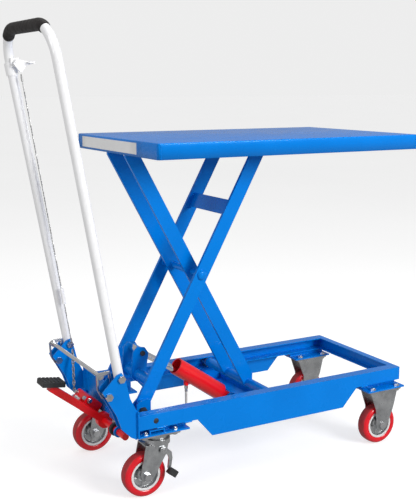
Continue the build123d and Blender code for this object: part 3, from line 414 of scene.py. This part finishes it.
def set_stage():
    """The viewing angle, a pale floor and soft studio light."""
    camera = bpy.data.objects.new("camera", bpy.data.cameras.new("camera"))
    camera.data.sensor_width = 36.0
    camera.data.lens = 65.78
    camera.location = at(-833.1, -1916.5, 918.4)
    yaw, pitch = math.radians(29.32), math.radians(10.31)
    forward = Vector((math.sin(yaw) * math.cos(pitch), math.cos(yaw) * math.cos(pitch), -math.sin(pitch)))
    camera.rotation_euler = forward.to_track_quat("-Z", "Y").to_euler()
    bpy.context.scene.collection.objects.link(camera)
    bpy.context.scene.camera = camera
    floor_paint = surface("studio floor", (0.52, 0.52, 0.52), (0.55, 0.55, 0.55), (0.7, 0.8), patch=0.6)
    reach = 60.0
    shader = floor_paint.node_tree.nodes["Principled BSDF"]
    shader.inputs["Emission Color"].default_value = (1.0, 1.0, 1.0, 1.0)
    shader.inputs["Emission Strength"].default_value = FLOOR_GLOW
    corners = [(-reach, -reach, 0), (reach, -reach, 0), (reach, reach, 0), (-reach, reach, 0)]
    floor = stage_mesh("studio_floor", corners, [(0, 1, 2, 3)], floor_paint)
    floor.visible_diffuse = False
    floor.visible_glossy = False
    world = bpy.data.worlds.new("studio")
    world.use_nodes = True
    tree = world.node_tree
    background = tree.nodes["Background"]
    background.inputs["Color"].default_value = (1.0, 1.0, 1.0, 1.0)
    background.inputs["Strength"].default_value = AMBIENT
    backdrop = node_of(tree, "ShaderNodeBackground", Color=(1.0, 1.0, 1.0, 1.0), Strength=BACKDROP)
    seen = tree.nodes.new("ShaderNodeLightPath")
    mix = tree.nodes.new("ShaderNodeMixShader")
    tree.links.new(seen.outputs["Is Camera Ray"], mix.inputs[0])
    tree.links.new(background.outputs["Background"], mix.inputs[1])
    tree.links.new(backdrop.outputs["Background"], mix.inputs[2])
    tree.links.new(mix.outputs["Shader"], tree.nodes["World Output"].inputs["Surface"])
    bpy.context.scene.world = world
    bpy.context.scene.view_settings.view_transform = "Standard"
    middle = (0.0, 0.0, 0.45)
    area_light("key", (1.3, -3.2, 1.9), middle, (1.5, 1.5), 116.0)
    area_light("fill", (-3.2, -0.8, 1.9), middle, (1.0, 2.0), 30.0)
    area_light("top", (0.2, 0.6, 3.2), middle, (2.2, 2.2), 24.0)


set_stage()


# ---- the platform ----
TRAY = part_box("platform_tray")
SHEET = 2.0


def platform():
    """The pressed top: one sheet with rolled edges, folded lips and welded corner seams."""
    low, high = TRAY
    bm = bmesh.new()
    corners = [(low.x, low.y), (high.x, low.y), (high.x, high.y), (low.x, high.y)]
    skin(bm, [[Vector((x, y, low.z)) for x, y in corners], [Vector((x, y, high.z)) for x, y in corners]])
    bm.faces.ensure_lookup_table()
    bottom = min(bm.faces, key=lambda f: f.calc_center_median().z)
    bmesh.ops.delete(bm, geom=[bottom], context="FACES_ONLY")
    upright = [e for e in bm.edges if abs(e.verts[0].co.z - e.verts[1].co.z) > 10 * MM]
    bmesh.ops.bevel(bm, geom=upright, offset=6.0 * MM, segments=6, affect="EDGES", profile=0.5)
    rim = [e for e in bm.edges if all(v.co.z > high.z - MM for v in e.verts)]
    bmesh.ops.bevel(bm, geom=rim, offset=2.6 * MM, segments=4, affect="EDGES", profile=0.5)
    top = piece("platform_top_sheet", bm, None, [BLUE], angle=60.0)
    wall = top.modifiers.new("sheet", "SOLIDIFY")
    wall.thickness = SHEET * MM
    wall.offset = -1.0
    wall.use_even_offset = True
    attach(top, "platform")
    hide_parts("platform_tray")
    seams = bmesh.new()
    for i, (x, y) in enumerate(corners):
        out_x, out_y = math.copysign(1, x - low.x - MM), math.copysign(1, y)
        for along_x, along_y in ((6.5, 0.1), (0.1, 6.5)):
            start = Vector((x - out_x * along_x * MM, y - out_y * along_y * MM, low.z + MM))
            end = Vector((start.x, start.y, high.z - 4 * MM))
            along([start.lerp(end, k / 12) for k in range(13)],
                  [0.8 + 0.08 * math.sin(2.3 * k + i) for k in range(13)], 8, seams)
    piece("platform_corner_seams", seams, "platform", [BLUE], angle=70.0)
    plate = bmesh.new()
    x = low.x - 0.3 * MM
    block(plate, (0, -118, 768), (0.6, 194, 793), 0, Matrix.Translation((x, 0, 0)))
    piece("platform_blank_label", plate, "platform", [LABEL], bevel=0.15)


platform()


# ---- wheels ----
def arc(centre_r, centre_d, radius, start, end, steps):
    """Points of a profile's round corner, as (radius from axis, distance along axis)."""
    turn = [math.radians(start + (end - start) * i / steps) for i in range(steps + 1)]
    return [(centre_r + radius * math.sin(t), centre_d + radius * math.cos(t)) for t in turn]


def wheel(name, body, centre):
    """A cast polyurethane tyre on a white rim with a pressed zinc hub."""
    half = 16.0
    crown = arc(51.0 - 58.0, 0.0, 58.0, 101.5, 78.5, 8)
    shoulder_far = arc(42.5, -half + 8.0, 8.0, 180, 118, 5)
    shoulder_near = arc(42.5, half - 8.0, 8.0, 62, 0, 5)
    profile = [(36.0, -half + 1.5), (38.5, -half)] + shoulder_far + crown + shoulder_near
    profile += [(38.5, half), (36.0, half - 1.5)]
    first_crown = 2 + len(shoulder_far)
    bands = [1 if first_crown <= k < first_crown + len(crown) - 1 else 0 for k in range(len(profile))]
    bm = bmesh.new()
    turned(bm, centre, (0, 1, 0), profile, 72, bands)
    piece(f"{name}_tyre_cast", bm, body, [TYRE, TREAD], [f"{name}_tyre"], angle=50.0)
    hub = bmesh.new()
    rim = [(30.0, -13.5), (31.0, -14.5), (35.0, -14.5), (36.0, -13.5),
           (36.0, 13.5), (35.0, 14.5), (31.0, 14.5), (30.0, 13.5)]
    turned(hub, centre, (0, 1, 0), rim, 72, [1] * len(rim))
    disc = [(5.1, -17.5), (11.5, -17.5), (13.0, -16.0), (14.0, -9.0), (17.0, -6.5), (27.0, -7.5),
            (29.0, -11.0), (30.2, -12.5), (30.2, 12.5), (29.0, 11.0), (27.0, 7.5), (17.0, 6.5),
            (14.0, 9.0), (13.0, 16.0), (11.5, 17.5), (5.1, 17.5)]
    turned(hub, centre, (0, 1, 0), disc, 72)
    for i in range(6):
        turn = math.radians(60 * i + 12)
        spoke = Vector((math.cos(turn), 0, math.sin(turn)))
        for face in (-1, 1):
            start = centre + spoke * 15 * MM + Vector((0, face * 7.2 * MM, 0))
            end = centre + spoke * 28 * MM + Vector((0, face * 8.6 * MM, 0))
            rod(hub, start, end, 1.7, 10, chamfer=0.6)
    piece(f"{name}_hub_pressed", hub, body, [ZINC, RIM], [f"{name}_hub"], angle=32.0)


def wheels():
    for side, sign in SIDES.items():
        for end, x, y in (("front", 655.0, 160.0), ("rear", -9.0, 150.0)):
            wheel(f"{end}_{side}", f"{end}_{side}_wheel", at(x, sign * y, 51.0))


wheels()


# ---- handle ----
HINGE = at(-67.0, 0, 288.0)
TILT = math.radians(10.0)
HANDLE_UP = Vector((-math.sin(TILT), 0, math.cos(TILT)))
HANDLE_AHEAD = Vector((math.cos(TILT), 0, math.sin(TILT)))
RISE, HALF_WIDTH, BEND = 761.0, 155.0, 72.0


def handle_at(across, up, ahead=0.0):
    return HINGE + HANDLE_UP * up * MM + HANDLE_AHEAD * ahead * MM + Vector((0, across * MM, 0))


def foam_grip():
    """The foam sleeve over the top bar and part of each bend, with rounded ends."""
    straight = HALF_WIDTH - BEND
    path = []
    for i in range(13):
        turn = math.radians(30.5) * (1 - i / 12)
        path.append(handle_at(-straight - BEND * math.sin(turn), RISE - BEND * (1 - math.cos(turn))))
    for i in range(1, 24):
        path.append(handle_at(-straight + 2 * straight * i / 24, RISE))
    for i in range(21):
        turn = math.radians(41.5) * i / 20
        path.append(handle_at(straight + BEND * math.sin(turn), RISE - BEND * (1 - math.cos(turn))))
    full = 13.4
    radii = [full * (1 + 0.006 * math.sin(1.7 * i) + 0.004 * math.sin(4.1 * i)) for i in range(len(path))]
    for i, share in enumerate((0.84, 0.93, 0.985)):
        radii[i] = radii[-1 - i] = full * share
    bm = along(path, radii, 28)
    grip = piece("foam_hand_grip", bm, "handle", [FOAM], ["handle_grip"], angle=65.0, bevel=0.8)


foam_grip()


# ---- release cable and chain ----
def twisted(bm, start, end, radius, lay, pitch, strands=2, steps_per_turn=9):
    """Strands wound round each other from start to end."""
    axis = unit(end - start)
    first, second = cross_axes(axis)
    length = (end - start).length / MM
    count = int(length / pitch * steps_per_turn)
    for s in range(strands):
        points = []
        for i in range(count + 1):
            turn = 2 * math.pi * (i / steps_per_turn + s / strands)
            offset = (math.cos(turn) * first + math.sin(turn) * second) * lay * MM
            points.append(start.lerp(end, i / count) + offset)
        along(points, radius, 6, bm)


CABLE_Y = 131.0


def release_cable():
    bm = bmesh.new()
    foot, head = handle_at(CABLE_Y, 3, 2), handle_at(CABLE_Y, 660, 12)
    twisted(bm, foot, head, 0.75, 0.8, 13.0)
    axis = unit(head - foot)
    for start, length, radius, material in ((104, 40, 4.4, 1), (6, 10, 2.4, 0), (640, 12, 2.4, 0)):
        low = foot + axis * start * MM
        rod(bm, low, low + axis * length * MM, radius, 20, material, 0.6)
    piece("release_wire", bm, "release_cable", [WIRE, WHITE], ["release_cable"])


def chain_link(bm, centre, axis, flat, pitch, wire):
    """One oval link of round wire, lying in the plane of axis and flat."""
    length, width = pitch * 0.5 + wire * 0.9, wire * 1.75
    points = []
    for i in range(20):
        turn = 2 * math.pi * i / 20
        reach = length - width
        u = width * math.cos(turn) + (reach if math.cos(turn) >= 0 else -reach)
        points.append(centre + (axis * u + flat * width * math.sin(turn)) * MM)
    normal = axis.cross(flat).normalized()
    rings = []
    for i, point in enumerate(points):
        ahead = (points[(i + 1) % 20] - points[i - 1]).normalized()
        side = ahead.cross(normal).normalized()
        rings.append([point + (math.cos(t) * side + math.sin(t) * normal) * wire * MM
                      for t in (2 * math.pi * k / 8 for k in range(8))])
    skin(bm, rings + [rings[0]], caps=False)


def release_chain():
    bm = bmesh.new()
    foot, head = at(-76, 96, 182), at(-64.5, CABLE_Y, 281)
    axis = unit(head - foot)
    first, second = cross_axes(axis)
    pitch = 8.4
    count = int((head - foot).length / MM / pitch)
    for i in range(count):
        centre = foot + axis * (i + 0.5) * pitch * MM
        turn = math.radians(45 + 90 * (i % 2) + 14 * math.sin(i))
        flat = math.cos(turn) * first + math.sin(turn) * second
        chain_link(bm, centre, axis, flat, pitch, 1.4)
    bmesh.ops.remove_doubles(bm, verts=bm.verts[:], dist=1e-6)
    piece("release_chain_links", bm, "release_chain", [STEEL], ["release_chain"], angle=80.0)


release_cable()
release_chain()


# ---- oil hose ----
PORT_X = 181.0
HOSE_ROUTE = (
    (PORT_X, 0, 182),
    (PORT_X, 0, 160),
    (PORT_X, 0, 132),
    (PORT_X, 0, 106),
    (PORT_X, 0, 90),
    (PORT_X - 8, 0, 75),
    (PORT_X - 26, 1, 66),
    (PORT_X - 57, 5, 63),
    (PORT_X - 95, 12, 66),
    (PORT_X - 130, 22, 76),
    (PORT_X - 165, 34, 97),
    (PORT_X - 190, 40, 120),
    (PORT_X - 207, 42, 139),
)


def curve_points(name, route, resolution=10):
    """Points of the smooth NURBS line through a route's control points."""
    curve = bpy.data.curves.new(name, "CURVE")
    curve.dimensions = "3D"
    spline = curve.splines.new("NURBS")
    spline.points.add(len(route) - 1)
    for point, spot in zip(spline.points, route):
        point.co = (*at(*spot), 1.0)
    spline.order_u = 3
    spline.use_endpoint_u = True
    spline.resolution_u = resolution
    holder = bpy.data.objects.new(name, curve)
    line = bpy.data.meshes.new_from_object(holder)
    points = [v.co.copy() for v in line.vertices]
    bpy.data.objects.remove(holder)
    bpy.data.curves.remove(curve)
    bpy.data.meshes.remove(line)
    return points


def oil_hose():
    """One hose from the barrel's port down to the pump, laid along one fixed bent route."""
    points = curve_points("hose line", HOSE_ROUTE)
    bm = along(points, 2.9, 16)
    port = at(PORT_X, 0, 184)
    rod(bm, port, port - Vector((0, 0, 9 * MM)), 4.6, 6, 1, 0.5)
    rod(bm, port - Vector((0, 0, 9 * MM)), port - Vector((0, 0, 17 * MM)), 3.7, 18, 1, 0.6)
    hose = piece("oil_hose_line", bm, None, [HOSE, BRIGHT], ["oil_hose", "hose_drop"])
    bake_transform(hose)


oil_hose()


# ---- pedal pad ----
def pedal_pad():
    """The moulded rubber pad, with rows of small studs on its tread."""
    tilt = Matrix.Rotation(math.radians(8), 4, "Y")
    place = Matrix.Translation(at(-171, -12, 252.5)) @ tilt
    bm = bmesh.new()
    block(bm, (-27, -21, -7), (27, 21, 5.2), 0, place)
    for i in range(6):
        for j in range(5):
            x, y = -22.0 + 8.8 * i, -16.4 + 8.2 * j
            block(bm, (x - 2.9, y - 2.7, 5.0), (x + 2.9, y + 2.7, 6.9), 0, place)
    piece("pedal_rubber_pad", bm, "pedal", [RUBBER], ["pedal_pad"], bevel=1.0, segments=3)


pedal_pad()


# ---- brakes ----
def brake(side, sign):
    """A bent zinc lever with a ribbed black rubber tip."""
    mid_y = sign * 150.0
    face = mid_y + sign * 27.0
    bm = bmesh.new()
    outline = ((20, 104), (23, 115), (35, 115), (49, 102), (51, 88), (47, 64), (39, 64),
               (42, 88), (39, 97), (29, 100))
    slab(bm, [at(x, face - 2.6, z) for x, z in outline], Vector((0, 5.2 * MM, 0)))
    place = Matrix.Translation(at(49, mid_y + sign * 31.0, 54)) @ Matrix.Rotation(math.radians(38), 4, "Y")
    block(bm, (-11.6, -6.6, -7.2), (11.6, 6.6, 7.2), 1, place)
    for i in range(5):
        x = -9.2 + 4.6 * i
        block(bm, (x - 1.3, -6.9, -7.8), (x + 1.3, 6.9, 7.8), 1, place)
    piece(f"brake_{side}_lever", bm, f"brake_{side}", [ZINC, RUBBER], [f"brake_{side}"], bevel=0.7)


for side_name, side_sign in SIDES.items():
    brake(side_name, side_sign)


# ---- welds and small trim ----
def scissor_welds():
    bm = bmesh.new()
    for i, y in enumerate((-1, 1)):
        for k, z in enumerate((612, 646)):
            x = 13 + (z - 180) / (481 - 180) * (172 - 13)
            bead(bm, at(x - 10, y * 89.2, z), at(x + 8, y * 89.2, z), 1.7, 10 + i + k)
    piece("brace_weld_beads", bm, "outer_arms", [BLUE], angle=75.0)


def frame_welds():
    bm = bmesh.new()
    for y in (-1, 1):
        for k, (x, z) in enumerate(((-29.5, 166), (-29.5, 186))):
            bead(bm, at(x, y * 170.6, z), at(x, y * 170.6, z + 14), 2.0, 30 + k)
        bead(bm, at(84, y * 174.2, 162.6), at(104, y * 174.2, 162.6), 2.0, 50)
        bead(bm, at(14, y * 174.2, 162.6), at(38, y * 174.2, 162.6), 2.0, 53)
        bead(bm, at(590, y * 174.2, 162.6), at(612, y * 174.2, 162.6), 2.0, 55)
    piece("frame_weld_beads", bm, "frame", [BLUE], angle=75.0)


def pump_trim():
    bm = bmesh.new()
    turn = Matrix.Rotation(math.radians(38), 4, "Y")
    place = Matrix.Translation(at(-68, 40, 169)) @ turn
    block(bm, (-29.6, -15, -15), (-28.9, 12, 3), 0, place)
    piece("pump_blank_label", bm, "frame", [LABEL], bevel=0.15)
    nuts = bmesh.new()
    back = place.to_3x3() @ Vector((-1, 0, 0))
    for y, z in ((-25, 9), (25, 9), (25, -12)):
        nut(nuts, place @ (Vector((-23.0, y, z)) * MM), back, 9.0, 4.0)
    for x, z in ((-12, 10), (10, -10)):
        nut(nuts, place @ (Vector((x, -30.0, z)) * MM), (0, -1, 0), 10.0, 4.5)
    piece("pump_nuts", nuts, "frame", [BRIGHT])
    rings = bmesh.new()
    for y in (-1, 1):
        profile = [(8.2, -4.5), (14.4, -4.5), (15.4, -3.5), (15.4, 3.5), (14.4, 4.5), (8.2, 4.5)]
        turned(rings, at(-45, y * 80, 140), (0, 1, 0), profile, 40)
    piece("pedal_shaft_rings", rings, "frame", [RUBBER])


def pivot_ends():
    """The dark ends of the pivot bolts, seen through the holes in the side rails."""
    bm = bmesh.new()
    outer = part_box("side_rails")[1].y / MM
    for y in (-1, 1):
        profile = [(0.01, 0.0), (6.3, 0.0), (6.3, 1.4), (5.2, 1.8), (0.01, 1.8)]
        turned(bm, at(13, y * (outer - 2.6), 180), (0, y, 0), profile, 28)
    piece("pivot_bolt_ends", bm, "frame", [PIN])


def centre_shaft():
    """The shaft of the crossing: painted like the bars, with welded collars and end caps."""
    bm = bmesh.new()
    middle = at(172, 0, 481)
    half = Vector((0, 86 * MM, 0))
    rod(bm, middle - half, middle + half, 7.9, 28)
    for y in (-1, 1):
        cap = [(0.01, 0.0), (11.8, 0.0), (11.8, 1.2), (10.6, 3.2), (6.0, 4.6), (0.01, 5.0)]
        turned(bm, middle + Vector((0, y * 98.05 * MM, 0)), (0, y, 0), cap, 32, [1] * len(cap))
        collar = [(8.0, 0.0), (12.4, 0.0), (12.4, 4.0), (8.0, 4.0)]
        turned(bm, middle + Vector((0, y * 82 * MM, 0)), (0, y, 0), collar, 32, [1] * len(collar))
        for side in (-1, 1):
            ring = []
            for i in range(9):
                turn = math.radians(side * (30 + 14 * i))
                round_shaft = Vector((math.sin(turn) * 9.4, y * 41, math.cos(turn) * 9.4))
                ring.append(middle + round_shaft * MM)
            along(ring, [1.0 + 0.4 * (i % 2) for i in range(9)], 8, bm, 1)
    piece("centre_shaft_capped", bm, "inner_arms", [BLUE, BLUE], ["centre_shaft"], angle=50.0)


def latch():
    """The folding handle's latch: two bent zinc straps, each a ring in outline, and a chromed rod."""
    outline = ((-118, 296), (-110, 303), (-86, 305), (-82.5, 288),
               (-85, 262), (-89, 244), (-105, 244), (-116, 264))
    mid_x, mid_z = -100.0, 274.0
    opening = 0.74
    bm = bmesh.new()
    for side in (-1, 1):
        rings = []
        for y, share in ((147.0, 1.0), (151.0, 1.0), (151.0, opening), (147.0, opening)):
            rings.append([at(mid_x + (x - mid_x) * share, side * y, mid_z + (z - mid_z) * share)
                          for x, z in outline])
        skin(bm, rings + [rings[0]], caps=False)
        boss = [(5.2, -2.0), (9.0, -2.0), (9.0, 2.0), (5.2, 2.0)]
        turned(bm, at(-97, side * 149, 252), (0, 1, 0), boss, 32)
    bmesh.ops.remove_doubles(bm, verts=bm.verts[:], dist=1e-6)
    rod(bm, at(-107, -150, 294), at(-107, 150, 294), 4.5, 28, 1, 0.6)
    for y in (-1, 1):
        rod(bm, at(-107, y * 143, 294), at(-107, y * 150.5, 294), 7.6, 24, chamfer=0.6)
    piece("handle_latch_straps", bm, "handle_latch", [BRIGHT, CHROME], ["handle_latch"], bevel=0.5)


scissor_welds()
frame_welds()
pump_trim()
pivot_ends()
centre_shaft()
latch()


# ---- the CAD parts that stay, with rounded edges where they are plain plates ----
def soften(node, width=0.8):
    """A copy of a sheet-metal part with its sharp edges rounded, which stands for the part."""
    source = nodes[node]
    bm = bmesh.new()
    bm.from_mesh(source.data)
    bmesh.ops.remove_doubles(bm, verts=bm.verts[:], dist=2e-6)
    bmesh.ops.dissolve_limit(bm, angle_limit=math.radians(0.6), verts=bm.verts[:], edges=bm.edges[:])
    slot_name = SLOT_OF[node]
    return piece(f"{node}_rounded", bm, BODY_OF[node], [BY_SLOT[slot_name]], [node],
                 angle=34.0, bevel=width)


SOFTENED = ("outer_arms", "inner_arms", "side_rails", "front_cross_member", "handle_brackets", "rear_plate",
            "arm_lugs", "lift_lever", "arm_brace", "caster_mounts", "cylinder_cross_bar",
            "front_caster_forks", "rear_left_fork", "rear_right_fork")
for plain in SOFTENED:
    soften(plain)

FINISH = {
    "handle_bracket_bolts": BRIGHT,
    "caster_bolts": BRIGHT,
    "front_axles": BRIGHT,
    "rear_left_axle": BRIGHT,
    "rear_right_axle": BRIGHT,
    "outer_arm_pins": PIN,
    "frame_pivot_pins": PIN,
}
for node_name, node in nodes.items():
    node.data.materials.clear()
    node.data.materials.append(FINISH.get(node_name, BY_SLOT[SLOT_OF[node_name]]))

bpy.context.view_layer.update()
